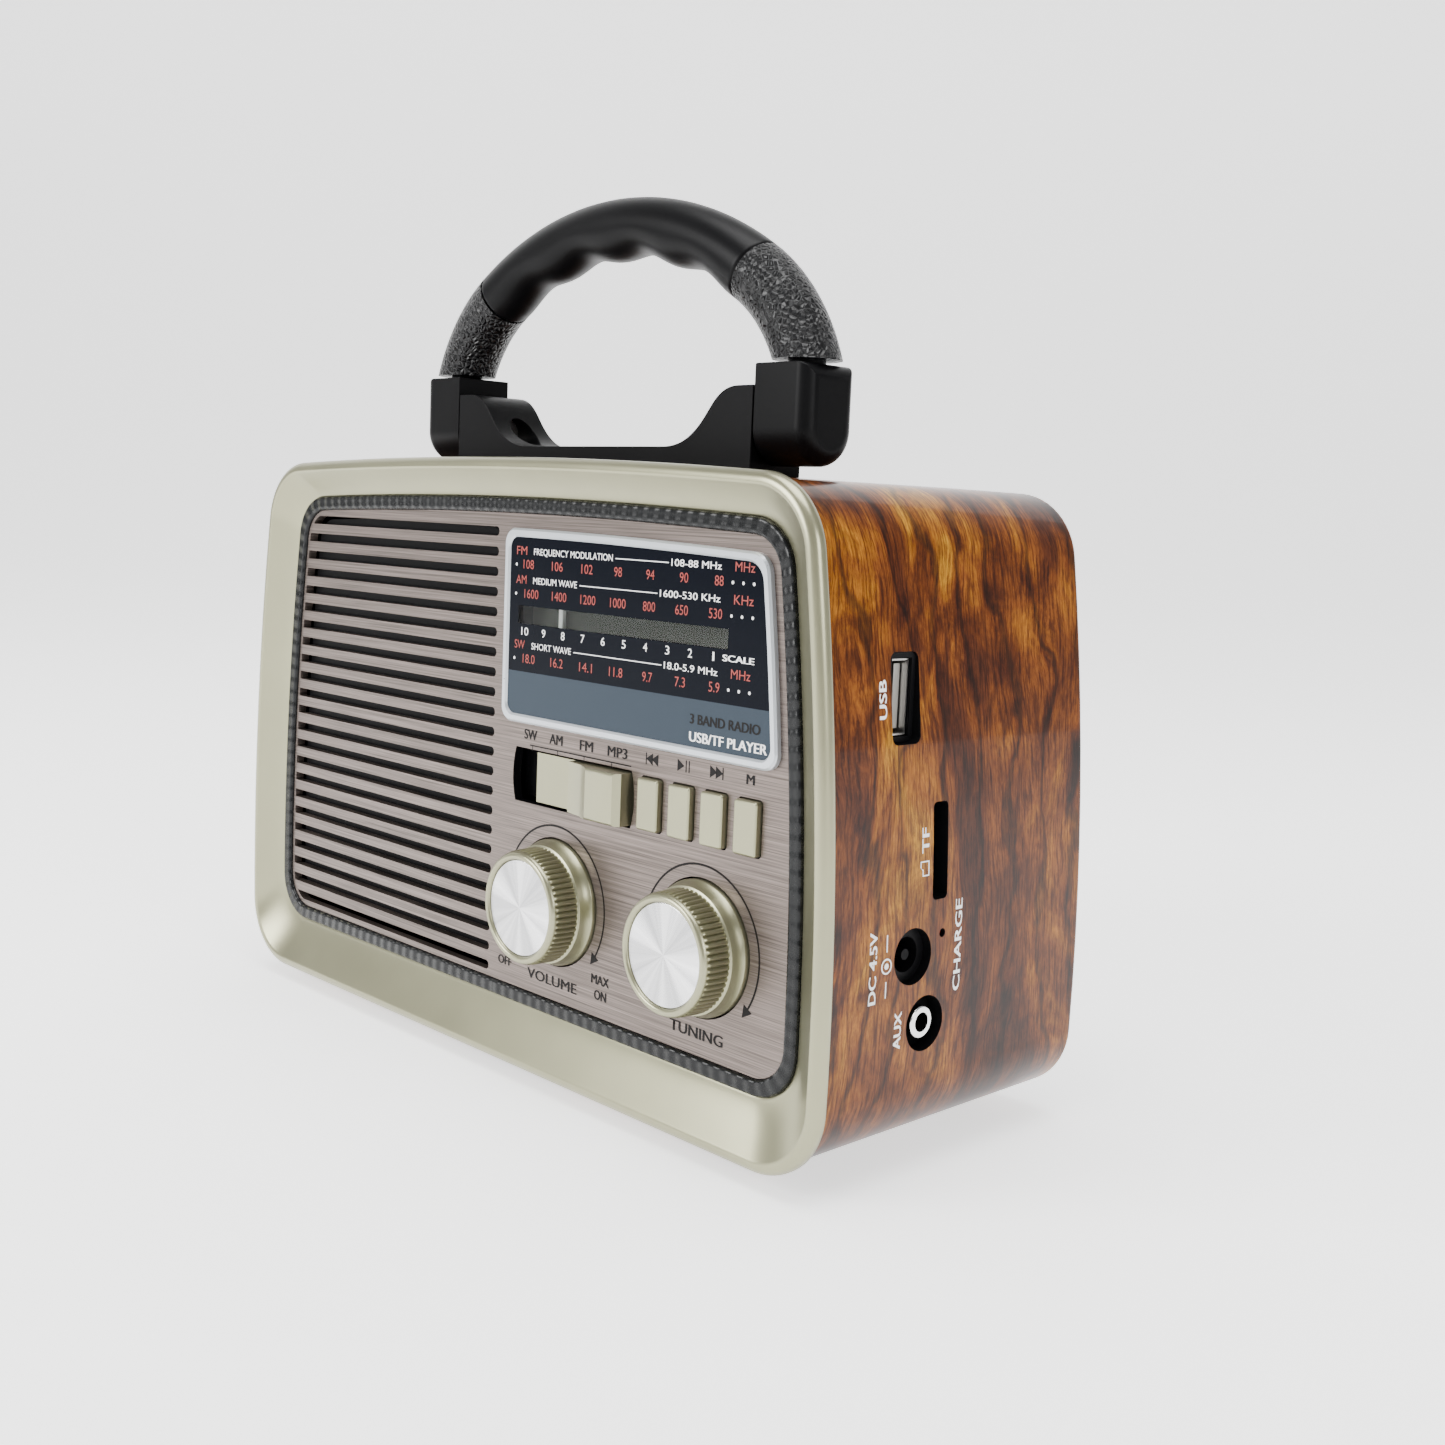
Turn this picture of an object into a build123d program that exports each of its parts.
from build123d import *
import math
import os

os.makedirs("parts", exist_ok=True)

# A three-band portable radio: wooden wrap-round case, dished bezel, slotted front
# panel with dial, switch, buttons and two knobs, folding arch handle.
# Millimetres. +X is the listener's right, -Y is the front, +Z is up, and the origin
# is on the ground under the middle of the case.

# ---- cabinet outline, seen from the front --------------------------------------
half_width = 95.0         # widest half width of the bezel
cabinet_height = 122.3    # bezel bottom edge to the crown
ground_gap = 3.0          # ground to the bezel's bottom edge
bow_height = 25.0         # height above the bottom edge where the sides are widest
side_radius = 550.0       # bow of the sides
crown_radius = 1575.0     # bow of the top
corner_radius = 15.0
cabinet_depth = 71.5      # face of the front panel to the rear rim
base_z = ground_gap
cabinet_top = base_z + cabinet_height
widest_z = base_z + bow_height

# ---- bezel, trim ring and front panel ------------------------------------------
ridge_forward = 4.5       # front ridge of the bezel ahead of the panel's face
ridge_inset = 2.2
bezel_back = 1.75         # bezel edge to the case joint, ahead of the panel's face
bezel_round = 1.9
bezel_side = 8.8          # widths of the dished face
bezel_top = 7.8
bezel_bottom = 11.9
trim_width = 3.1
trim_forward = 0.8
panel_thick = 2.0
ledge_lap = 2.0           # bezel ledge behind the panel's edge
ledge_thick = 2.0
seat_gap = 0.1            # clearance round pieces that drop into a seat
case_inset = 1.2          # case surface inside the bezel's outline
case_wall = 3.0
case_rear_round = 1.5

# ---- grille --------------------------------------------------------------------
slot_pitch = 4.1
slot_height = 1.9
slot_margin = 0.9         # slot ends to the panel's border
first_slot_drop = 3.9     # panel's top border to the first slot
controls_width = 82.0     # width of the control side of the panel at the bow's widest
grille_gap = 3.6          # grille's right end to the control side
cloth_thick = 0.5

# ---- dial ----------------------------------------------------------------------
dial_side = 13.9          # dial outline in from the cabinet's outline
dial_top = 13.9
dial_bottom_rise = 57.8   # dial's bottom edge above the bezel opening's bottom border
dial_corner = 3.0
dial_frame_width = 1.7
dial_frame_high = 1.3
dial_plate_high = 0.9
strip_left = 4.6          # dial's left edge to the pointer strip
strip_length = 60.1
strip_height = 3.6
strip_rise = 2.3          # strip centre above the dial's middle
pointer_margin = 2.5      # pointer stop to the strip's end
pointer_rest = 9.7        # pointer at rest from the strip's left end
pointer_width = 1.2

# ---- switch, buttons and knobs ----------------------------------------------------
control_row_rise = 44.1   # switch and button row above the panel's bottom border
knob_row_rise = 20.1      # knob axes above the panel's bottom border
switch_left = 3.1         # control side's edge to the switch opening
switch_length = 37.4
switch_height = 11.0
switch_sag = 0.9          # bow of the opening's ends
switch_travel = 6.0
switch_body_over = 2.0      # switch body longer than its opening
switch_knob_gap = 1.1
button_first = 45.4       # control side's edge to the first button
button_pitch = 8.55
button_width = 6.2
button_height = 10.3
button_gap = 0.25
button_proud = 1.4
button_travel = 0.8
volume_in = 17.8          # control side's edge to the volume knob's axis
tuning_in = 59.7
knob_skirt = 12.6
knob_ring = 11.4
knob_gap = 0.35
knob_proud = 9.3
disc_radius = 9.5
disc_thick = 0.6
shaft_radius = 3.0
shaft_gap = 0.05

# ---- inside ----------------------------------------------------------------------
control_board_depth = 8.0     # depths are measured behind the panel's face
cord_depth = 12.5
drum_thick = 3.0
idler_radius = 3.0
idler_inset = 1.0           # left idler in from the left edge of the controls
idler_outset = 3.6          # right idler out from the end of the strip
cord_radius = 0.35
cord_gap = 0.1
body_depth = 17.0             # front of the tuning capacitor and the volume control
main_board_depth = 29.0
board_thick = 1.6
post_radius = 3.0
magnet_radius = 20.0
speaker_depth = 34.0
rod_radius = 5.0
rod_length = 100.0
cell_radius = 9.0
cell_length = 65.0
rear_cover_thick = 2.5
rear_cover_set = 0.5          # rear cover's face inside the case's rim
rear_post_radius = 5.0
screw_radius = 1.5
screw_length = 6.4
screw_head = 2.8
foot_radius = 6.0

# ---- side sockets, as depth behind the panel's face and height above the bezel's bottom ---
usb_depth, usb_rise, usb_tall, usb_wide = 17.9, 82.9, 15.9, 7.5
card_depth, card_rise, card_tall, card_wide = 27.2, 55.7, 17.4, 4.1
dc_depth, dc_rise = 20.2, 37.7
aux_depth, aux_rise = 24.3, 25.0
jack_hole = 5.05
led_depth, led_rise, led_radius = 28.2, 40.8, 0.7
aux_bore = 1.8
dc_bore = 3.2
jack_board_x_in = 20.0        # jack board behind the widest side
jack_flange = 7.2

# ---- handle ------------------------------------------------------------------------
handle_depth = 27.8
leg_x = 54.5              # middle of a leg
leg_half = 6.9
leg_bottom_gap = 1.2      # leg's rounded foot above the case's crown
neck_rise = 12.0          # leg pivot to the neck
grip_radius = 6.4
core_radius = 3.5
crown_rise = 29.2         # neck to the grip's centre line at the crown
seam_x = 40.5
seam_drop = 11.6          # crown of the centre line to the seam
ear_gap = 0.3
ear_thick = 9.0
ear_high = 8.0            # ear top above the pivot
bar_high = 4.6
pin_radius = 3.0
pin_bore_gap = 0.05

# ---- antenna -------------------------------------------------------------------------
antenna_in = 26.0         # antenna pivot in from the widest side
antenna_drop = 21.0       # antenna pivot below the crown
antenna_off = 4.7         # antenna axis behind the rear cover's face
antenna_pin = 2.0
tube_radii = [3.0, 2.4, 1.8]
tube_wall = 0.45
tube_length = 118.0
tube_step = 3.0           # each section ends this much past the one round it

rear_reach = cabinet_depth - rear_cover_set + antenna_off + tube_radii[0] + 1.0
panel_y = -(rear_reach - knob_proud) / 2     # face of the front panel, from the middle of the whole depth


def front_plane(depth):
    """Plane that faces the front, at a depth behind the panel's face."""
    return Plane.XZ.offset(-(panel_y + depth))


def side_x(height, inset=0.0):
    """Half width of the bowed outline at a height, moved in by the inset."""
    return half_width - side_radius + math.sqrt((side_radius - inset) ** 2 - (height - widest_z) ** 2)


def top_z(across, inset=0.0):
    """Height of the crowned top at a distance from the middle, moved in by the inset."""
    return cabinet_top - crown_radius + math.sqrt((crown_radius - inset) ** 2 - across**2)


def outline(side, top, bottom, corner):
    """Cabinet outline moved in by a side, a top and a bottom inset, corners rounded."""
    low = base_z + bottom
    head_z = cabinet_top - top
    for _ in range(8):
        head_x = side_x(head_z, side)
        head_z = top_z(head_x, top)
    foot_x = side_x(low, side)
    middle = (low + head_z) / 2
    with BuildSketch(mode=Mode.PRIVATE) as shape:
        with BuildLine():
            Line((-foot_x, low), (foot_x, low))
            ThreePointArc((foot_x, low), (side_x(middle, side), middle), (head_x, head_z))
            ThreePointArc((head_x, head_z), (0, top_z(0, top)), (-head_x, head_z))
            ThreePointArc((-head_x, head_z), (-side_x(middle, side), middle), (-foot_x, low))
        make_face()
        fillet(shape.vertices(), corner)
    return shape.sketch


def bezel_opening(extra=0.0):
    """Outline of the opening in the dished face, moved in by an extra width."""
    return outline(bezel_side + extra, bezel_top + extra, bezel_bottom + extra, 10.0 - extra * 0.8)


def lathe_plane(across, height):
    """Plane whose own X is a radius and own Y is depth, for a part turned about a depth axis."""
    return Plane(origin=(across, panel_y, height), x_dir=(1, 0, 0), z_dir=(0, 0, 1))


def depth_axis(across, height):
    """Axis that runs from front to back through a point of the front view."""
    return Axis((across, panel_y, height), (0, 1, 0))


# places worked out from the dimensions above
opening_low = base_z + bezel_bottom
panel_low = opening_low + trim_width
panel_top = cabinet_top - bezel_top - trim_width
panel_side = bezel_side + trim_width
control_left = half_width - panel_side - controls_width
grille_right = control_left - grille_gap
row_z = panel_low + control_row_rise
knob_z = panel_low + knob_row_rise
volume_x = control_left + volume_in
tuning_x = control_left + tuning_in
dial_low = opening_low + dial_bottom_rise
dial_high = cabinet_top - dial_top
strip_z = (dial_low + dial_high) / 2 + strip_rise
strip_x = control_left + strip_left
pointer_x = strip_x + pointer_rest
pointer_low_travel = -(pointer_rest - pointer_margin)
pointer_high_travel = strip_length - pointer_rest - pointer_margin
drum_radius = (pointer_high_travel - pointer_low_travel) / math.pi
case_low = base_z + case_inset
cover_face_depth = cabinet_depth - rear_cover_set
cover_front_depth = cover_face_depth - rear_cover_thick
inner_inset = case_inset + case_wall
inner_top = cabinet_top - inner_inset
inner_low = base_z + inner_inset

# ================================= cabinet =========================================
with BuildPart() as front_bezel:
    with BuildSketch(front_plane(-ridge_forward)):
        add(outline(0, 0, 0, corner_radius))
    extrude(amount=-(ridge_forward - bezel_back))
    fillet(front_bezel.faces().sort_by(Axis.Y)[0].edges(), bezel_round)
    with BuildSketch(front_plane(-bezel_back)):
        tuck_inset = inner_inset + seat_gap
        add(outline(tuck_inset, tuck_inset, tuck_inset, corner_radius - inner_inset))
    extrude(amount=-(bezel_back + panel_thick + ledge_thick))
    with BuildSketch(front_plane(-ridge_forward)):
        add(outline(ridge_inset, ridge_inset, ridge_inset, corner_radius - ridge_inset))
    with BuildSketch(front_plane(0)):
        add(bezel_opening())
    loft(mode=Mode.SUBTRACT)
    with BuildSketch(front_plane(0)):
        add(bezel_opening())
    extrude(amount=-panel_thick, mode=Mode.SUBTRACT)
    with BuildSketch(front_plane(panel_thick)):
        add(bezel_opening(trim_width + ledge_lap))
    extrude(amount=-ledge_thick, mode=Mode.SUBTRACT)
front_bezel.part.label = "front_bezel"
export_step(front_bezel.part, "parts/front_bezel.step")

with BuildPart() as trim_ring:
    with BuildSketch(front_plane(-trim_forward)):
        add(bezel_opening(seat_gap))
        add(bezel_opening(trim_width), mode=Mode.SUBTRACT)
    extrude(amount=-(trim_forward + panel_thick))
    chamfer(trim_ring.faces().sort_by(Axis.Y)[0].outer_wire().edges(), 0.35)
trim_ring.part.label = "trim_ring"
export_step(trim_ring.part, "parts/trim_ring.step")

# places of the ports in the right-hand wall
usb_y, usb_z = panel_y + usb_depth, base_z + usb_rise
card_y, card_z = panel_y + card_depth, base_z + card_rise
dc_y, dc_z = panel_y + dc_depth, base_z + dc_rise
aux_y, aux_z = panel_y + aux_depth, base_z + aux_rise
led_y, led_z = panel_y + led_depth, base_z + led_rise
handle_y = panel_y + handle_depth
pivot_z = cabinet_top - case_inset + leg_bottom_gap + leg_half
base_screw_x = leg_x - leg_half - ear_gap - ear_thick - 12.0
post_in = inner_inset + rear_post_radius - 0.6
post_low_z = base_z + post_in + 1.5
post_high_z = cabinet_top - post_in - 3.0
rear_posts = []
for post_z in (post_low_z, post_high_z):
    post_x = side_x(post_z, post_in + 1.0)
    rear_posts += [(post_x, post_z), (-post_x, post_z)]
side_plane = Plane(origin=(half_width, 0, 0), x_dir=(0, 1, 0), z_dir=(1, 0, 0))

with BuildPart() as wood_case:
    with BuildSketch(front_plane(-bezel_back)):
        add(outline(case_inset, case_inset, case_inset, corner_radius - case_inset))
    extrude(amount=-(bezel_back + cabinet_depth))
    fillet(wood_case.faces().sort_by(Axis.Y)[-1].edges(), case_rear_round)
    with BuildSketch(front_plane(-bezel_back)):
        add(outline(inner_inset, inner_inset, inner_inset, corner_radius - inner_inset))
    extrude(amount=-(bezel_back + cabinet_depth), mode=Mode.SUBTRACT)
    with BuildSketch(front_plane(panel_thick + ledge_thick + 24.0)):
        with Locations(*rear_posts):
            Circle(rear_post_radius)
    extrude(amount=-(cover_front_depth - panel_thick - ledge_thick - 24.0))
    with BuildSketch(front_plane(cover_front_depth)):
        with Locations(*rear_posts):
            Circle(screw_radius)
    extrude(amount=18.0, mode=Mode.SUBTRACT)
    with BuildSketch(side_plane):
        with Locations((usb_y, usb_z)):
            RectangleRounded(usb_wide, usb_tall, 1.5)
        with Locations((card_y, card_z)):
            RectangleRounded(card_wide, card_tall, 1.0)
        with Locations((dc_y, dc_z), (aux_y, aux_z)):
            Circle(jack_hole)
        with Locations((led_y, led_z)):
            Circle(led_radius + seat_gap)
    extrude(amount=-half_width / 2, mode=Mode.SUBTRACT)
    with BuildSketch(Plane.XY.offset(cabinet_top)):
        with Locations((-base_screw_x, handle_y), (base_screw_x, handle_y)):
            Circle(screw_radius + seat_gap)
    extrude(amount=-12.0, mode=Mode.SUBTRACT)
wood_case.part.label = "wood_case"
export_step(wood_case.part, "parts/wood_case.step")

foot_x = half_width - 26.0
foot_front_y = panel_y + 12.0
foot_rear_y = panel_y + cabinet_depth - 12.0
with BuildPart() as feet:
    with BuildSketch(Plane.XY):
        with Locations((-foot_x, foot_front_y), (foot_x, foot_front_y),
                       (-foot_x, foot_rear_y), (foot_x, foot_rear_y)):
            Circle(foot_radius)
    extrude(amount=case_low)
    chamfer(feet.faces().group_by(Axis.Z)[0].edges(), 0.6)
feet.part.label = "feet"
export_step(feet.part, "parts/feet.step")

# ================================= front panel ======================================
slot_count = int((panel_top - first_slot_drop - panel_low - slot_height / 2) / slot_pitch) + 1
knob_hole = knob_skirt + knob_gap
strip_mid_x = strip_x + strip_length / 2
panel_posts = [(volume_x - 11.0, knob_z - 11.5), (volume_x + 20.0, knob_z - 11.5),
               (volume_x + 2.0, dial_low + 4.0), (tuning_x + 6.0, dial_low + 4.0)]
with BuildPart() as front_panel:
    with BuildSketch(front_plane(0)):
        add(bezel_opening(trim_width + seat_gap))
    extrude(amount=-panel_thick)
    with BuildSketch(front_plane(0)):
        for slot in range(slot_count):
            slot_z = panel_top - first_slot_drop - slot * slot_pitch
            slot_end = half_width + 10.0
            with Locations(((grille_right - slot_end) / 2, slot_z)):
                SlotOverall(grille_right + slot_end, slot_height)
        add(bezel_opening(trim_width + slot_margin), mode=Mode.INTERSECT)
    extrude(amount=-panel_thick, mode=Mode.SUBTRACT)
    with BuildSketch(front_plane(0)):
        with Locations((volume_x, knob_z), (tuning_x, knob_z)):
            Circle(knob_hole)
        with Locations((control_left + switch_left + switch_length / 2, row_z)):
            Rectangle(switch_length - 2 * switch_sag, switch_height)
        for side in (-1, 1):
            bow_x = control_left + switch_left + switch_length / 2 + side * (switch_length / 2 - switch_sag)
            with BuildLine():
                Line((bow_x, row_z - switch_height / 2), (bow_x, row_z + switch_height / 2))
                ThreePointArc((bow_x, row_z - switch_height / 2), (bow_x + side * switch_sag, row_z),
                              (bow_x, row_z + switch_height / 2))
            make_face()
        for button in range(4):
            with Locations((control_left + button_first + button * button_pitch, row_z)):
                RectangleRounded(button_width, button_height, 0.8)
        with Locations((strip_mid_x, strip_z - 1.5)):
            Rectangle(strip_length + 4.0, strip_height + 5.0)
    extrude(amount=-panel_thick, mode=Mode.SUBTRACT)
    with BuildSketch(front_plane(panel_thick)):
        with Locations(*panel_posts):
            Circle(post_radius)
    extrude(amount=-(main_board_depth - panel_thick))
    with BuildSketch(front_plane(main_board_depth)):
        with Locations(*panel_posts):
            Circle(screw_radius)
    extrude(amount=10.0, mode=Mode.SUBTRACT)
front_panel.part.label = "front_panel"
export_step(front_panel.part, "parts/front_panel.step")

grille_left = -side_x(widest_z, panel_side + ledge_lap + 1.0)
speaker_x = (grille_left + grille_right) / 2
speaker_z = (panel_low + panel_top) / 2
speaker_radius = min(grille_right - grille_left, panel_top - panel_low) / 2 - 0.5
with BuildPart() as grille_cloth:
    with BuildSketch(front_plane(panel_thick)):
        with Locations((speaker_x, speaker_z)):
            RectangleRounded(grille_right - grille_left + 1.0,
                             panel_top - panel_low - 2 * ledge_lap - 2.0, 6.0)
        add(bezel_opening(trim_width + ledge_lap + seat_gap), mode=Mode.INTERSECT)
    extrude(amount=-cloth_thick)
grille_cloth.part.label = "grille_cloth"
export_step(grille_cloth.part, "parts/grille_cloth.step")


def dial_outline(extra):
    """Outline of the dial: straight left and bottom edges, the others follow the cabinet."""
    left = control_left + extra
    low = dial_low + extra
    with BuildSketch(mode=Mode.PRIVATE) as shape:
        add(outline(dial_side + extra, dial_top + extra, 0, 4.0))
        with Locations(((left + half_width) / 2, (low + cabinet_top) / 2)):
            Rectangle(half_width - left, cabinet_top - low, mode=Mode.INTERSECT)
    with BuildSketch(mode=Mode.PRIVATE) as rounded:
        add(shape.sketch)
        sharp = rounded.vertices().group_by(Axis.Y)[0] + rounded.vertices().group_by(Axis.X)[0]
        fillet(ShapeList(set(sharp)), dial_corner - extra * 0.5)
    return rounded.sketch


with BuildPart() as dial_frame:
    with BuildSketch(front_plane(-dial_frame_high)):
        add(dial_outline(0))
        add(dial_outline(dial_frame_width), mode=Mode.SUBTRACT)
    extrude(amount=-dial_frame_high)
    chamfer(dial_frame.faces().sort_by(Axis.Y)[0].edges(), 0.4)
dial_frame.part.label = "dial_frame"
export_step(dial_frame.part, "parts/dial_frame.step")

with BuildPart() as dial_plate:
    with BuildSketch(front_plane(-dial_plate_high)):
        add(dial_outline(dial_frame_width + 0.05))
        with Locations((strip_mid_x, strip_z)):
            Rectangle(strip_length, strip_height, mode=Mode.SUBTRACT)
    extrude(amount=-dial_plate_high)
dial_plate.part.label = "dial_plate"
export_step(dial_plate.part, "parts/dial_plate.step")

with BuildPart() as strip_window:
    with BuildSketch(front_plane(-dial_plate_high)):
        with Locations((strip_mid_x, strip_z)):
            Rectangle(strip_length, strip_height)
    extrude(amount=-dial_plate_high)
strip_window.part.label = "strip_window"
export_step(strip_window.part, "parts/strip_window.step")

backing_depth = 4.2
with BuildPart() as strip_backing:
    with BuildSketch(front_plane(backing_depth)):
        with Locations((strip_mid_x, strip_z + 2.0)):
            Rectangle(strip_length + 3.0, strip_height + 6.0)
    extrude(amount=-0.8)
    with BuildSketch(front_plane(panel_thick)):
        with Locations((strip_mid_x, strip_z + strip_height / 2 + 4.0)):
            Rectangle(strip_length + 3.0, 2.4)
    extrude(amount=-(backing_depth - panel_thick))
strip_backing.part.label = "strip_backing"
export_step(strip_backing.part, "parts/strip_backing.step")

# ================================= pointer and tuning drive ============================
cord_z = strip_z - strip_height / 2 - 5.4      # top run of the dial cord
arm_z = strip_z - strip_height / 2 - 2.6
with BuildPart() as dial_pointer:
    with BuildSketch(front_plane(panel_thick + 0.4)):
        with Locations((pointer_x, (strip_z + strip_height / 2 + arm_z) / 2)):
            Rectangle(pointer_width, strip_z + strip_height / 2 - arm_z)
    extrude(amount=-0.8)
    with BuildSketch(front_plane(panel_thick + 0.4)):
        with Locations((pointer_x, arm_z - 0.6)):
            Rectangle(4.0, 1.2)
    extrude(amount=-(cord_depth + 1.2 - panel_thick - 0.4))
    with BuildSketch(front_plane(cord_depth - 1.2)):
        with Locations((pointer_x, (arm_z + cord_z - 1.2) / 2)):
            Rectangle(4.0, arm_z - cord_z + 1.2)
    extrude(amount=-2.4)
    with BuildSketch(Plane.YZ.offset(pointer_x - 5.0)):
        with Locations((panel_y + cord_depth, cord_z)):
            Circle(cord_radius + 3 * cord_gap)
    extrude(amount=10.0, mode=Mode.SUBTRACT)
dial_pointer.part.label = "dial_pointer"
export_step(dial_pointer.part, "parts/dial_pointer.step")

drum_front = cord_depth - drum_thick / 2
with BuildPart() as dial_drum:
    with BuildSketch(lathe_plane(tuning_x, knob_z)):
        with BuildLine():
            Polyline((shaft_radius, drum_front), (drum_radius + 1.2, drum_front),
                     (drum_radius + 1.2, drum_front + 0.8), (drum_radius - cord_radius, drum_front + 0.8),
                     (drum_radius - cord_radius, drum_front + drum_thick - 0.8),
                     (drum_radius + 1.2, drum_front + drum_thick - 0.8),
                     (drum_radius + 1.2, drum_front + drum_thick),
                         (shaft_radius, drum_front + drum_thick), close=True)
        make_face()
    revolve(axis=depth_axis(tuning_x, knob_z))
    with BuildSketch(front_plane(drum_front)):
        with Locations((tuning_x, knob_z)):
            with PolarLocations(drum_radius * 0.58, 5):
                Circle(3.2)
    extrude(amount=-drum_thick, mode=Mode.SUBTRACT)
dial_drum.part.label = "dial_drum"
export_step(dial_drum.part, "parts/dial_drum.step")

idler_z = cord_z - idler_radius - cord_radius - cord_gap
idler_left_x = control_left + idler_inset
idler_right_x = strip_x + strip_length + idler_outset
with BuildPart() as cord_idlers:
    for idler_x in (idler_left_x, idler_right_x):
        with BuildSketch(lathe_plane(idler_x, idler_z)):
            with BuildLine():
                Polyline((0, panel_thick), (1.5, panel_thick), (1.5, drum_front),
                         (idler_radius + 1.0, drum_front),
                         (idler_radius + 1.0, drum_front + 0.8), (idler_radius, drum_front + 0.8),
                         (idler_radius, drum_front + drum_thick - 0.8),
                         (idler_radius + 1.0, drum_front + drum_thick - 0.8),
                         (idler_radius + 1.0, drum_front + drum_thick),
                         (0, drum_front + drum_thick), close=True)
            make_face()
        revolve(axis=depth_axis(idler_x, idler_z))
cord_idlers.part.label = "cord_idlers"
export_step(cord_idlers.part, "parts/cord_idlers.step")


def belt_face(grow):
    """Area inside a belt line round the drum and the two idlers, grown by a distance."""
    with BuildSketch(mode=Mode.PRIVATE) as loop:
        with Locations((tuning_x, knob_z)):
            Circle(drum_radius - cord_radius + cord_gap + grow)
        with Locations((idler_left_x, idler_z), (idler_right_x, idler_z)):
            Circle(idler_radius + cord_gap + grow)
        make_hull()
    return loop.sketch


with BuildPart() as dial_cord:
    with BuildSketch(front_plane(cord_depth - cord_radius)):
        add(belt_face(2 * cord_radius))
        add(belt_face(0), mode=Mode.SUBTRACT)
    extrude(amount=-2 * cord_radius)
dial_cord.part.label = "dial_cord"
export_step(dial_cord.part, "parts/dial_cord.step")

capacitor_size = 20.0
with BuildPart() as tuning_capacitor:
    with BuildSketch(front_plane(body_depth)):
        with Locations((tuning_x, knob_z)):
            RectangleRounded(capacitor_size, capacitor_size, 1.0)
            Circle(shaft_radius + shaft_gap, mode=Mode.SUBTRACT)
    extrude(amount=-(main_board_depth - body_depth))
tuning_capacitor.part.label = "tuning_capacitor"
export_step(tuning_capacitor.part, "parts/tuning_capacitor.step")

with BuildPart() as volume_control:
    with BuildSketch(front_plane(body_depth)):
        with Locations((volume_x, knob_z)):
            Circle(8.0)
            Circle(shaft_radius + shaft_gap, mode=Mode.SUBTRACT)
    extrude(amount=-(main_board_depth - body_depth))
    with BuildSketch(front_plane(body_depth + 2.0)):
        with Locations((volume_x, knob_z - 9.0)):
            Rectangle(10.0, 6.0)
            with Locations((0, 9.0)):
                Circle(7.0, mode=Mode.SUBTRACT)
    extrude(amount=-1.0)
volume_control.part.label = "volume_control"
export_step(volume_control.part, "parts/volume_control.step")

# ================================= knobs ================================================
for knob_name, knob_x in (("volume", volume_x), ("tuning", tuning_x)):
    with BuildPart() as knob:
        with BuildSketch(lathe_plane(knob_x, knob_z)):
            with BuildLine():
                Polyline((0, -knob_proud + disc_thick + 0.6),
                         (disc_radius + 0.1, -knob_proud + disc_thick + 0.6),
                         (disc_radius + 0.1, -knob_proud + 0.3), (disc_radius + 0.5, -knob_proud),
                         (knob_ring - 0.9, -knob_proud), (knob_ring, -knob_proud + 0.9),
                         (knob_ring, -2.6), (knob_skirt - 0.5, -1.6), (knob_skirt, -1.0), (knob_skirt, 1.2),
                         (knob_ring - 1.2, 1.2), (knob_ring - 1.2, -knob_proud + 3.6),
                         (shaft_radius + 2.4, -knob_proud + 3.6), (shaft_radius + 2.4, 1.2),
                         (shaft_radius, 1.2), (shaft_radius, -knob_proud + 3.2),
                         (0, -knob_proud + 3.2), close=True)
            make_face()
        revolve(axis=depth_axis(knob_x, knob_z))
    knob.part.label = knob_name + "_knob"
    export_step(knob.part, "parts/" + knob_name + "_knob.step")

    with BuildPart() as disc:
        with BuildSketch(front_plane(-knob_proud + 0.6)):
            with Locations((knob_x, knob_z)):
                Circle(disc_radius)
        extrude(amount=-disc_thick)
    disc.part.label = knob_name + "_disc"
    export_step(disc.part, "parts/" + knob_name + "_disc.step")

    with BuildPart() as shaft:
        with BuildSketch(front_plane(-knob_proud + 3.2)):
            with Locations((knob_x, knob_z)):
                Circle(shaft_radius)
        extrude(amount=-(body_depth + 8.0 + knob_proud - 3.2))
    shaft.part.label = knob_name + "_shaft"
    export_step(shaft.part, "parts/" + knob_name + "_shaft.step")

# ================================= switch and buttons =====================================
switch_mid = control_left + switch_left + switch_length / 2
knob_left = switch_mid - switch_length / 2 + switch_knob_gap + switch_travel
knob_right = switch_mid + switch_length / 2 - switch_knob_gap
thumb_left = (knob_left + knob_right) / 2 - 2.5
with BuildPart() as band_slider:
    with BuildSketch(Plane.XY.offset(row_z - switch_height / 2 + 0.5)):
        with BuildLine():
            Polyline((knob_left, panel_y + 3.4), (knob_left, panel_y + 0.6), (thumb_left, panel_y + 0.6),
                     (thumb_left, panel_y - 1.2), (thumb_left + 4.5, panel_y - 2.0),
                         (thumb_left + 8.0, panel_y - 3.6),
                     (knob_right - 1.2, panel_y - 3.6), (knob_right, panel_y - 2.4),
                         (knob_right, panel_y + 3.4),
                     close=True)
        make_face()
    extrude(amount=switch_height - 1.0)
    fillet(band_slider.edges().filter_by(Axis.X).group_by(Axis.Y)[0], 0.6)
    with BuildSketch(front_plane(3.4)):
        with Locations(((knob_left + knob_right) / 2, row_z)):
            Rectangle(3.0, 3.0)
    extrude(amount=-2.8)
band_slider.part.label = "band_slider"
export_step(band_slider.part, "parts/band_slider.step")

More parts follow.
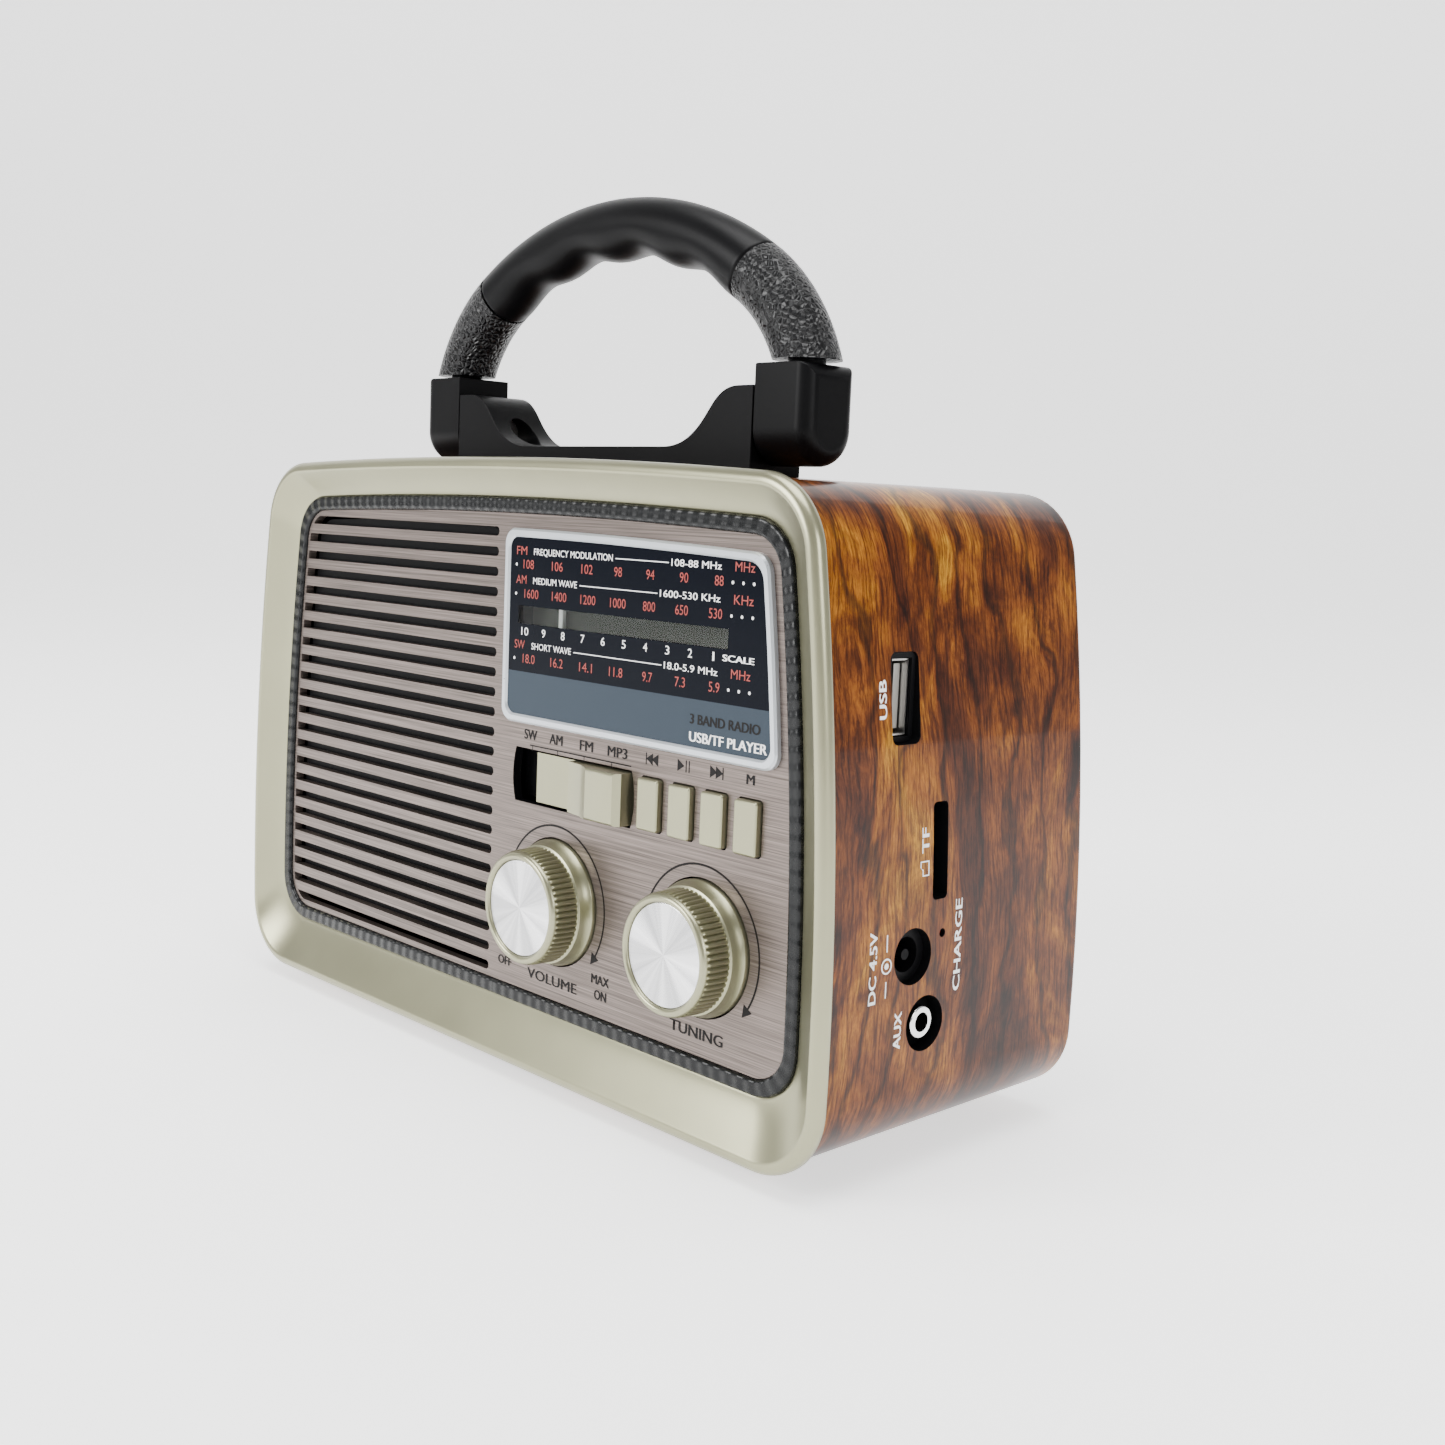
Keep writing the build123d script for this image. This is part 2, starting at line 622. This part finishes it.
with BuildPart() as band_switch:
    with BuildSketch(front_plane(3.9)):
        with Locations((switch_mid, row_z)):
            Rectangle(switch_length + switch_body_over, switch_height - 1.0)
            with Locations((0, 0)):
                Rectangle(switch_travel + 8.0, 3.6, mode=Mode.SUBTRACT)
    extrude(amount=-(control_board_depth - 3.9))
band_switch.part.label = "band_switch"
export_step(band_switch.part, "parts/band_switch.step")

button_names = ["previous", "play", "next", "mode"]
for number, button_name in enumerate(button_names):
    button_x = control_left + button_first + number * button_pitch
    with BuildPart() as button:
        with BuildSketch(front_plane(-button_proud)):
            with Locations((button_x, row_z)):
                RectangleRounded(button_width - 2 * button_gap, button_height - 2 * button_gap, 0.6)
        extrude(amount=-(button_proud + panel_thick + 0.3))
        fillet(button.faces().sort_by(Axis.Y)[0].edges(), 0.5)
        with BuildSketch(front_plane(panel_thick + 0.3)):
            with Locations((button_x, row_z)):
                Rectangle(button_width + 1.2, button_height + 2.0)
        extrude(amount=-1.0)
        with BuildSketch(front_plane(panel_thick + 1.3)):
            with Locations((button_x, row_z)):
                Circle(1.5)
        extrude(amount=-(control_board_depth - panel_thick - 1.3 - 2.6 - button_travel))
    button.part.label = "button_" + button_name
    export_step(button.part, "parts/button_" + button_name + ".step")

board_right = control_left + button_first + 3 * button_pitch + 5.0
with BuildPart() as control_board:
    with BuildSketch(front_plane(control_board_depth)):
        with Locations(((switch_mid - switch_length / 2 - 2.0 + board_right) / 2, row_z)):
            Rectangle(board_right - switch_mid + switch_length / 2 + 2.0, switch_height + 6.0)
    extrude(amount=-board_thick)
    for number in range(4):
        switch_x = control_left + button_first + number * button_pitch
        with BuildSketch(front_plane(control_board_depth - 2.0)):
            with Locations((switch_x, row_z)):
                Rectangle(6.0, 6.0)
        extrude(amount=-2.0)
        with BuildSketch(front_plane(control_board_depth - 2.6)):
            with Locations((switch_x, row_z)):
                Circle(1.7)
        extrude(amount=-0.6)
control_board.part.label = "control_board"
export_step(control_board.part, "parts/control_board.step")

# ================================= main board ==============================================
main_left = volume_x - 16.0
main_right = tuning_x + 12.0
main_low = knob_z - 16.0
main_high = dial_low + 9.0
chip_x = (main_left + main_right) / 2
chip_z = (main_low + main_high) / 2
with BuildPart() as main_board:
    with BuildSketch(front_plane(main_board_depth)):
        with Locations(((main_left + main_right) / 2, (main_low + main_high) / 2)):
            Rectangle(main_right - main_left, main_high - main_low)
        with Locations(*panel_posts):
            Circle(screw_radius, mode=Mode.SUBTRACT)
    extrude(amount=-board_thick)
    # tuner and amplifier chips, and three tall capacitors
    with BuildSketch(front_plane(main_board_depth + board_thick)):
        with Locations((chip_x - 16.0, chip_z), (chip_x + 14.0, chip_z + 4.0)):
            Rectangle(12.0, 9.0)
    extrude(amount=-2.0)
    with BuildSketch(front_plane(main_board_depth + board_thick)):
        with Locations((chip_x - 2.0, chip_z + 12.0), (chip_x - 2.0, chip_z - 12.0),
                       (chip_x + 14.0, chip_z - 12.0)):
            Circle(4.0)
    extrude(amount=-10.0)
main_board.part.label = "main_board"
export_step(main_board.part, "parts/main_board.step")

board_back = main_board_depth + board_thick

# ================================= speaker ====================================================
flange_depth = panel_thick + ledge_thick + 0.2
magnet_depth = flange_depth + speaker_depth - 12.0
with BuildPart() as speaker_frame:
    with BuildSketch(lathe_plane(speaker_x, speaker_z)):
        with BuildLine():
            Polyline((speaker_radius - 4.0, flange_depth), (speaker_radius, flange_depth),
                     (speaker_radius, flange_depth + 1.2), (speaker_radius - 3.0, flange_depth + 1.2),
                     (magnet_radius - 2.0, magnet_depth), (6.0, magnet_depth), (6.0, magnet_depth - 1.2),
                     (magnet_radius - 3.0, magnet_depth - 1.2), close=True)
        make_face()
    revolve(axis=depth_axis(speaker_x, speaker_z))
    with BuildSketch(front_plane(flange_depth + 6.0)):
        with Locations((speaker_x, speaker_z)):
            with PolarLocations((speaker_radius + magnet_radius) / 2 - 2.0, 6):
                Circle(5.0)
    extrude(amount=-(magnet_depth - flange_depth), mode=Mode.SUBTRACT)
speaker_frame.part.label = "speaker_frame"
export_step(speaker_frame.part, "parts/speaker_frame.step")

with BuildPart() as speaker_cone:
    with BuildSketch(lathe_plane(speaker_x, speaker_z)):
        with BuildLine():
            Polyline((speaker_radius - 4.8, flange_depth + 0.1), (speaker_radius - 5.6, flange_depth + 0.8),
                     (8.0, magnet_depth - 6.0), (0, magnet_depth - 9.0), (0, magnet_depth - 9.8),
                     (8.4, magnet_depth - 6.9), (speaker_radius - 6.4, flange_depth + 0.1), close=True)
        make_face()
    revolve(axis=depth_axis(speaker_x, speaker_z))
speaker_cone.part.label = "speaker_cone"
export_step(speaker_cone.part, "parts/speaker_cone.step")

with BuildPart() as speaker_magnet:
    with BuildSketch(front_plane(magnet_depth)):
        with Locations((speaker_x, speaker_z)):
            Circle(magnet_radius)
    extrude(amount=-10.0)
    chamfer(speaker_magnet.faces().sort_by(Axis.Y)[-1].edges(), 1.0)
speaker_magnet.part.label = "speaker_magnet"
export_step(speaker_magnet.part, "parts/speaker_magnet.step")

# ================================= ferrite rod antenna ==========================================
rod_depth = (board_back + cover_front_depth) / 2 + 2.0
rod_z = inner_top - rod_radius - 13.0
with BuildPart() as ferrite_rod:
    with BuildSketch(Plane.YZ.offset(-rod_length / 2)):
        with Locations((panel_y + rod_depth, rod_z)):
            Circle(rod_radius)
    extrude(amount=rod_length)
ferrite_rod.part.label = "ferrite_rod"
export_step(ferrite_rod.part, "parts/ferrite_rod.step")

with BuildPart() as rod_coil:
    with BuildSketch(Plane.YZ.offset(-rod_length / 2 + 14.0)):
        with Locations((panel_y + rod_depth, rod_z)):
            Circle(rod_radius + 1.2)
            Circle(rod_radius, mode=Mode.SUBTRACT)
    extrude(amount=26.0)
rod_coil.part.label = "rod_coil"
export_step(rod_coil.part, "parts/rod_coil.step")

# ================================= rear cover and battery =======================================
bay_x = speaker_x
bay_wide = cell_length + 9.0
bay_high = 2 * cell_radius + 4.0
bay_z = inner_low + 9.0 + bay_high / 2
bay_deep = 2 * cell_radius + 2.5
tray_wall = 1.6
door_wide = bay_wide + 6.0
door_high = bay_high + 6.0
door_thick = 1.4
antenna_x = half_width - antenna_in
antenna_z = cabinet_top - antenna_drop
vent_count = 7
with BuildPart() as rear_cover:
    with BuildSketch(front_plane(cover_front_depth)):
        add(outline(inner_inset + seat_gap, inner_inset + seat_gap, inner_inset + seat_gap,
                    corner_radius - inner_inset))
    extrude(amount=-rear_cover_thick)
    with BuildSketch(front_plane(cover_face_depth - door_thick - tray_wall - bay_deep)):
        with Locations((bay_x, bay_z)):
            Rectangle(bay_wide + 2 * tray_wall, bay_high + 2 * tray_wall)
    extrude(amount=-(bay_deep + tray_wall))
    with BuildSketch(front_plane(cover_face_depth - door_thick - bay_deep)):
        with Locations((bay_x, bay_z)):
            Rectangle(bay_wide, bay_high)
    extrude(amount=-(bay_deep + door_thick), mode=Mode.SUBTRACT)
    with BuildSketch(front_plane(cover_face_depth - door_thick)):
        with Locations((bay_x, bay_z)):
            RectangleRounded(door_wide, door_high, 2.0)
    extrude(amount=-door_thick, mode=Mode.SUBTRACT)
    with BuildSketch(front_plane(cover_front_depth)):
        with Locations(*rear_posts):
            Circle(screw_radius + seat_gap)
        for vent in range(vent_count):
            with Locations((speaker_x, speaker_z + 10.0 + vent * 4.0)):
                SlotOverall(50.0 - abs(vent - vent_count // 2) * 4.0, 1.8)
    extrude(amount=-rear_cover_thick, mode=Mode.SUBTRACT)
    # two moulded clips that hold the ferrite rod
    for clip_x in (-rod_length / 2 + 4.0, rod_length / 2 - 8.0):
        with BuildSketch(Plane.YZ.offset(clip_x)):
            with Locations((panel_y + (rod_depth + cover_front_depth) / 2, rod_z)):
                Rectangle(cover_front_depth - rod_depth, 4.0)
            with Locations((panel_y + rod_depth, rod_z)):
                Circle(rod_radius + 2.0)
                Circle(rod_radius, mode=Mode.SUBTRACT)
        extrude(amount=4.0)
    # boss and pin of the antenna
    with BuildSketch(front_plane(cover_face_depth)):
        with Locations((antenna_x, antenna_z)):
            Circle(7.0)
    extrude(amount=-1.2)
    with BuildSketch(front_plane(cover_face_depth)):
        with Locations((antenna_x, antenna_z)):
            Circle(antenna_pin)
    extrude(amount=-(antenna_off + tube_radii[0] + 1.0))
rear_cover.part.label = "rear_cover"
export_step(rear_cover.part, "parts/rear_cover.step")

with BuildPart() as battery_door:
    with BuildSketch(front_plane(cover_face_depth - door_thick + 0.1)):
        with Locations((bay_x, bay_z)):
            RectangleRounded(door_wide - 0.5, door_high - 0.5, 1.8)
    extrude(amount=-(door_thick - 0.1))
    with BuildSketch(front_plane(cover_face_depth)):
        for rib in range(4):
            with Locations((bay_x, bay_z + door_high / 2 - 5.0 - rib * 2.0)):
                SlotOverall(16.0, 0.9)
    extrude(amount=-0.5)
battery_door.part.label = "battery_door"
export_step(battery_door.part, "parts/battery_door.step")

cell_depth = cover_face_depth - door_thick - 0.8 - cell_radius
with BuildPart() as battery_cell:
    with BuildSketch(Plane.YZ.offset(bay_x - cell_length / 2)):
        with Locations((panel_y + cell_depth, bay_z)):
            Circle(cell_radius)
    extrude(amount=cell_length)
    fillet(battery_cell.edges().filter_by(GeomType.CIRCLE), 0.8)
battery_cell.part.label = "battery_cell"
export_step(battery_cell.part, "parts/battery_cell.step")

with BuildPart() as battery_contacts:
    for side in (-1, 1):
        contact_x = bay_x + side * (bay_wide / 2 - 0.2)
        with BuildSketch(Plane.YZ.offset(contact_x - 0.2)):
            with Locations((panel_y + cell_depth, bay_z)):
                Rectangle(12.0, 12.0)
        extrude(amount=0.4)
        with BuildSketch(Plane.YZ.offset(bay_x + side * cell_length / 2)):
            with Locations((panel_y + cell_depth, bay_z)):
                Circle(2.5)
        extrude(amount=side * (bay_wide - cell_length - 0.4) / 2)
battery_contacts.part.label = "battery_contacts"
export_step(battery_contacts.part, "parts/battery_contacts.step")

# ================================= side sockets ===================================================
jack_board_x = half_width - jack_board_x_in
jack_front_x = jack_board_x + board_thick
socket_low = aux_z - jack_flange - 1.5
socket_high = usb_z + usb_tall / 2 + 2.0
socket_front = min(dc_depth - jack_flange, usb_depth - usb_wide / 2) + 2.0
socket_back = max(aux_depth + jack_flange, card_depth + card_wide / 2) + 1.0
with BuildPart() as jack_board:
    with BuildSketch(Plane.YZ.offset(jack_board_x)):
        with Locations((panel_y + (socket_front + socket_back) / 2, (socket_low + socket_high) / 2)):
            Rectangle(socket_back - socket_front, socket_high - socket_low)
    extrude(amount=board_thick)
jack_board.part.label = "jack_board"
export_step(jack_board.part, "parts/jack_board.step")

usb_face = side_x(usb_z + usb_tall / 2, case_inset) - 0.4
usb_wall = 1.3
with BuildPart() as usb_collar:
    with BuildSketch(Plane.YZ.offset(side_x(usb_z + usb_tall / 2, inner_inset) - 0.5)):
        with Locations((usb_y, usb_z)):
            RectangleRounded(usb_wide - 2 * seat_gap, usb_tall - 2 * seat_gap, 1.4)
            Rectangle(usb_wide - 2 * usb_wall + 0.4, usb_tall - 2 * usb_wall + 0.4, mode=Mode.SUBTRACT)
    extrude(amount=usb_face - side_x(usb_z + usb_tall / 2, inner_inset) + 0.5)
usb_collar.part.label = "usb_collar"
export_step(usb_collar.part, "parts/usb_collar.step")

with BuildPart() as usb_socket:
    with BuildSketch(Plane.YZ.offset(jack_front_x)):
        with Locations((usb_y, usb_z)):
            Rectangle(usb_wide - 2 * usb_wall, usb_tall - 2 * usb_wall)
    extrude(amount=usb_face - 0.6 - jack_front_x)
    with BuildSketch(Plane.YZ.offset(jack_front_x + 1.5)):
        with Locations((usb_y, usb_z)):
            Rectangle(usb_wide - 2 * usb_wall - 0.6, usb_tall - 2 * usb_wall - 0.6)
    extrude(amount=usb_face - jack_front_x, mode=Mode.SUBTRACT)
    with BuildSketch(Plane.YZ.offset(jack_front_x + 1.0)):
        with Locations((usb_y + usb_wide / 2 - usb_wall - 1.4, usb_z)):
            Rectangle(1.6, usb_tall - 2 * usb_wall - 2.0)
    extrude(amount=usb_face - 2.0 - jack_front_x - 1.0)
usb_socket.part.label = "usb_socket"
export_step(usb_socket.part, "parts/usb_socket.step")

card_face = side_x(card_z + card_tall / 2, inner_inset) - 0.2
with BuildPart() as card_socket:
    with BuildSketch(Plane.YZ.offset(jack_front_x)):
        with Locations((card_y, card_z)):
            Rectangle(card_wide + 1.6, card_tall + 1.6)
    extrude(amount=card_face - jack_front_x)
    with BuildSketch(Plane.YZ.offset(jack_front_x + 1.0)):
        with Locations((card_y, card_z)):
            Rectangle(1.2, card_tall - 5.0)
    extrude(amount=card_face - jack_front_x, mode=Mode.SUBTRACT)
card_socket.part.label = "card_socket"
export_step(card_socket.part, "parts/card_socket.step")

dc_face = side_x(dc_z + jack_flange, inner_inset) - 0.2
with BuildPart() as dc_jack:
    with BuildSketch(Plane.YZ.offset(jack_front_x)):
        with Locations((dc_y, dc_z)):
            RectangleRounded(2 * jack_flange - 2.0, 2 * jack_flange - 2.4, 1.0)
    extrude(amount=dc_face - jack_front_x)
    with BuildSketch(Plane.YZ.offset(dc_face)):
        with Locations((dc_y, dc_z)):
            Circle(jack_hole - seat_gap)
    extrude(amount=1.6)
    with BuildSketch(Plane.YZ.offset(jack_front_x + 2.0)):
        with Locations((dc_y, dc_z)):
            Circle(dc_bore)
            Circle(1.0, mode=Mode.SUBTRACT)
    extrude(amount=dc_face + 1.6 - jack_front_x - 2.0, mode=Mode.SUBTRACT)
dc_jack.part.label = "dc_jack"
export_step(dc_jack.part, "parts/dc_jack.step")

aux_face = side_x(aux_z - jack_flange, inner_inset) - 0.2
with BuildPart() as aux_jack:
    with BuildSketch(Plane.YZ.offset(jack_front_x)):
        with Locations((aux_y, aux_z)):
            RectangleRounded(2 * jack_flange - 2.4, 2 * jack_flange - 3.0, 1.0)
            Circle(aux_bore, mode=Mode.SUBTRACT)
    extrude(amount=aux_face - jack_front_x)
aux_jack.part.label = "aux_jack"
export_step(aux_jack.part, "parts/aux_jack.step")

with BuildPart() as aux_ring:
    with BuildSketch(Plane.YZ.offset(aux_face)):
        with Locations((aux_y, aux_z)):
            Circle(3.0)
            Circle(aux_bore, mode=Mode.SUBTRACT)
    extrude(amount=2.6)
    fillet(aux_ring.faces().sort_by(Axis.X)[-1].outer_wire().edges(), 0.4)
aux_ring.part.label = "aux_ring"
export_step(aux_ring.part, "parts/aux_ring.step")

led_face = side_x(led_z, case_inset) - 1.0
with BuildPart() as charge_led:
    with BuildSketch(Plane.YZ.offset(jack_front_x)):
        with Locations((led_y, led_z)):
            Circle(led_radius)
    extrude(amount=led_face - jack_front_x)
charge_led.part.label = "charge_led"
export_step(charge_led.part, "parts/charge_led.step")

# ================================= handle ===========================================================
ear_x = leg_x - leg_half - ear_gap
base_half = ear_x
base_top = cabinet_top - case_inset + bar_high
base_depth_half = leg_half
with BuildPart() as handle_base:
    with BuildSketch(Plane.XZ.offset(-(handle_y + base_depth_half))):
        with BuildLine():
            ThreePointArc((-base_half, top_z(base_half, case_inset)), (0, top_z(0, case_inset)),
                          (base_half, top_z(base_half, case_inset)))
            Line((base_half, top_z(base_half, case_inset)), (base_half, pivot_z + ear_high))
            Line((base_half, pivot_z + ear_high), (base_half - 4.0, pivot_z + ear_high))
            Spline((base_half - 4.0, pivot_z + ear_high),
                   (base_half - 13.0, (pivot_z + ear_high + base_top) / 2),
                   (base_half - 25.0, base_top), tangents=((-1, 0), (-1, 0)))
            Line((base_half - 25.0, base_top), (-base_half + 25.0, base_top))
            Spline((-base_half + 25.0, base_top), (-base_half + 13.0, (pivot_z + ear_high + base_top) / 2),
                   (-base_half + 4.0, pivot_z + ear_high), tangents=((-1, 0), (-1, 0)))
            Line((-base_half + 4.0, pivot_z + ear_high), (-base_half, pivot_z + ear_high))
            Line((-base_half, pivot_z + ear_high), (-base_half, top_z(base_half, case_inset)))
        make_face()
    extrude(amount=2 * base_depth_half)
    with BuildSketch(Plane.YZ.offset(-base_half)):
        with Locations((handle_y, pivot_z)):
            Circle(pin_radius)
    extrude(amount=2 * base_half, mode=Mode.SUBTRACT)
    with BuildSketch(Plane.XY.offset(cabinet_top - case_inset - 1.0)):
        with Locations((-base_screw_x, handle_y), (base_screw_x, handle_y)):
            Circle(screw_radius)
    extrude(amount=bar_high, mode=Mode.SUBTRACT)
handle_base.part.label = "handle_base"
export_step(handle_base.part, "parts/handle_base.step")

pin_out = leg_x + leg_half - 2.0
pin_in = ear_x - ear_thick
with BuildPart() as handle_pins:
    for side in (-1, 1):
        with BuildSketch(Plane.YZ.offset(side * pin_in)):
            with Locations((handle_y, pivot_z)):
                Circle(pin_radius)
        extrude(amount=side * (pin_out - pin_in))
handle_pins.part.label = "handle_pins"
export_step(handle_pins.part, "parts/handle_pins.step")

neck_z = pivot_z + neck_rise
for side, side_name in ((-1, "left"), (1, "right")):
    leg_in = side * (leg_x - leg_half)
    with BuildPart() as handle_leg:
        with BuildSketch(Plane.YZ.offset(leg_in)):
            with Locations((handle_y, pivot_z)):
                Circle(leg_half)
            with Locations((handle_y, pivot_z + neck_rise / 2)):
                Rectangle(2 * leg_half, neck_rise)
        extrude(amount=side * 2 * leg_half)
        fillet(handle_leg.faces().sort_by(Axis.X)[-1 if side > 0 else 0].edges(), 3.2)
        with BuildSketch(Plane.YZ.offset(leg_in)):
            with Locations((handle_y, pivot_z)):
                Circle(pin_radius + pin_bore_gap)
        extrude(amount=side * (2 * leg_half - 1.8), mode=Mode.SUBTRACT)
        with BuildSketch(Plane.XY.offset(neck_z)):
            with Locations((side * leg_x, handle_y)):
                Circle(core_radius)
        extrude(amount=-5.0, mode=Mode.SUBTRACT)
    handle_leg.part.label = "handle_leg_" + side_name
    export_step(handle_leg.part, "parts/handle_leg_" + side_name + ".step")

# centre line of the arch: a crown arc between the seams, and a tangent side arc down to each neck
neck_gap = 0.8
crown_z = neck_z + crown_rise
seam_z = crown_z - seam_drop
bend_radius = (seam_x**2 + seam_drop**2) / (2 * seam_drop)
seam_slope = math.asin(seam_x / bend_radius)
run_x = leg_x - seam_x
run_z = neck_z + neck_gap - seam_z
side_bend = -(run_x**2 + run_z**2) / (2 * (run_x * math.sin(seam_slope) + run_z * math.cos(seam_slope)))
side_turn = 2 * math.degrees(math.asin(math.hypot(run_x, run_z) / (2 * side_bend)))
side_centre_x = seam_x - side_bend * math.sin(seam_slope)
side_centre_z = seam_z - side_bend * math.cos(seam_slope)


def seam_plane(side):
    """Plane of the cut at a seam, square to the arch's centre line."""
    return Plane(origin=(side * seam_x, handle_y, seam_z), x_dir=(0, 1, 0),
                 z_dir=(math.cos(seam_slope), 0, -side * math.sin(seam_slope)))


crown_axis = Axis((0, handle_y, crown_z - bend_radius), (0, 1, 0))
side_axes = {side: Axis((side * side_centre_x, handle_y, side_centre_z), (0, side, 0)) for side in (-1, 1)}
with BuildPart() as handle_core:
    with BuildSketch(seam_plane(-1)):
        Circle(core_radius)
    revolve(axis=crown_axis, revolution_arc=2 * math.degrees(seam_slope))
    for side in (-1, 1):
        with BuildSketch(seam_plane(side)):
            Circle(core_radius)
        revolve(axis=side_axes[side], revolution_arc=side_turn)
        with BuildSketch(Plane.XY.offset(neck_z - 5.0)):
            with Locations((side * leg_x, handle_y)):
                Circle(core_radius)
        extrude(amount=5.0 + neck_gap + 1.2)
handle_core.part.label = "handle_core"
export_step(handle_core.part, "parts/handle_core.step")

for side, side_name in ((-1, "left"), (1, "right")):
    with BuildPart() as handle_sleeve:
        with BuildSketch(seam_plane(side)):
            Circle(grip_radius)
        revolve(axis=side_axes[side], revolution_arc=side_turn + 10.0)
        split(bisect_by=Plane.XY.offset(neck_z + neck_gap), keep=Keep.TOP)
        add(handle_core.part, mode=Mode.SUBTRACT)
    handle_sleeve.part.label = "handle_sleeve_" + side_name
    export_step(handle_sleeve.part, "parts/handle_sleeve_" + side_name + ".step")

with BuildPart() as handle_grip:
    with BuildSketch(seam_plane(-1)):
        Circle(grip_radius)
        Circle(core_radius, mode=Mode.SUBTRACT)
    revolve(axis=crown_axis, revolution_arc=2 * math.degrees(seam_slope))
handle_grip.part.label = "handle_grip"
export_step(handle_grip.part, "parts/handle_grip.step")

# ================================= telescopic antenna ===============================================
antenna_depth = cover_face_depth + antenna_off
with BuildPart() as antenna_swivel:
    with BuildSketch(front_plane(cover_face_depth + 1.4)):
        with Locations((antenna_x, antenna_z)):
            Circle(5.4)
        with Locations((antenna_x - 5.0, antenna_z)):
            Rectangle(10.0, 2 * tube_radii[0] + 1.2)
    extrude(amount=-(antenna_off + tube_radii[0] + 0.2 - 1.4))
    with BuildSketch(front_plane(cover_face_depth + 1.4)):
        with Locations((antenna_x, antenna_z)):
            Circle(antenna_pin + shaft_gap)
    extrude(amount=-(antenna_off + tube_radii[0]), mode=Mode.SUBTRACT)
antenna_swivel.part.label = "antenna_swivel"
export_step(antenna_swivel.part, "parts/antenna_swivel.step")

tube_start_x = antenna_x - 10.0
for number, outer in enumerate(tube_radii):
    last = number == len(tube_radii) - 1
    inner = tube_radii[number] - tube_wall
    near_x = tube_start_x - number * tube_step
    with BuildPart() as antenna_section:
        with BuildSketch(Plane.YZ.offset(near_x)):
            with Locations((panel_y + antenna_depth, antenna_z)):
                Circle(outer)
                if not last:
                    Circle(inner, mode=Mode.SUBTRACT)
        extrude(amount=-tube_length)
        if last:
            with BuildSketch(Plane.YZ.offset(near_x - tube_length)):
                with Locations((panel_y + antenna_depth, antenna_z)):
                    Circle(tube_radii[0])
            extrude(amount=-4.0)
            fillet(antenna_section.faces().sort_by(Axis.X)[0].edges(), 0.8)
    antenna_section.part.label = "antenna_section_" + str(number + 1)
    export_step(antenna_section.part, "parts/antenna_section_" + str(number + 1) + ".step")

# ================================= screws =============================================================
screw_seats = [front_plane(cover_face_depth).location * Location((x, z, 0)) for x, z in rear_posts]
screw_seats += [front_plane(board_back).location * Location((x, z, 0)) for x, z in panel_posts]
base_seat = Plane(origin=(0, handle_y, top_z(base_screw_x, inner_inset) - 0.1),
                  x_dir=(1, 0, 0), z_dir=(0, 0, 1))
screw_seats += [base_seat.location * Location((side * base_screw_x, 0, 0)) for side in (-1, 1)]
with BuildPart() as screws:
    for seat in screw_seats:
        with BuildSketch(Plane(seat)):
            Circle(screw_radius)
        extrude(amount=screw_length)
        with BuildSketch(Plane(seat)):
            Circle(screw_head)
        extrude(amount=-1.6)
        chamfer(screws.faces(Select.LAST).sort_by(SortBy.AREA)[-1].edges(), 0.3)
        with BuildSketch(Plane(seat).offset(-1.6)):
            Rectangle(2.8, 0.6)
            Rectangle(0.6, 2.8)
        extrude(amount=0.9, mode=Mode.SUBTRACT)
screws.part.label = "screws"
export_step(screws.part, "parts/screws.step")
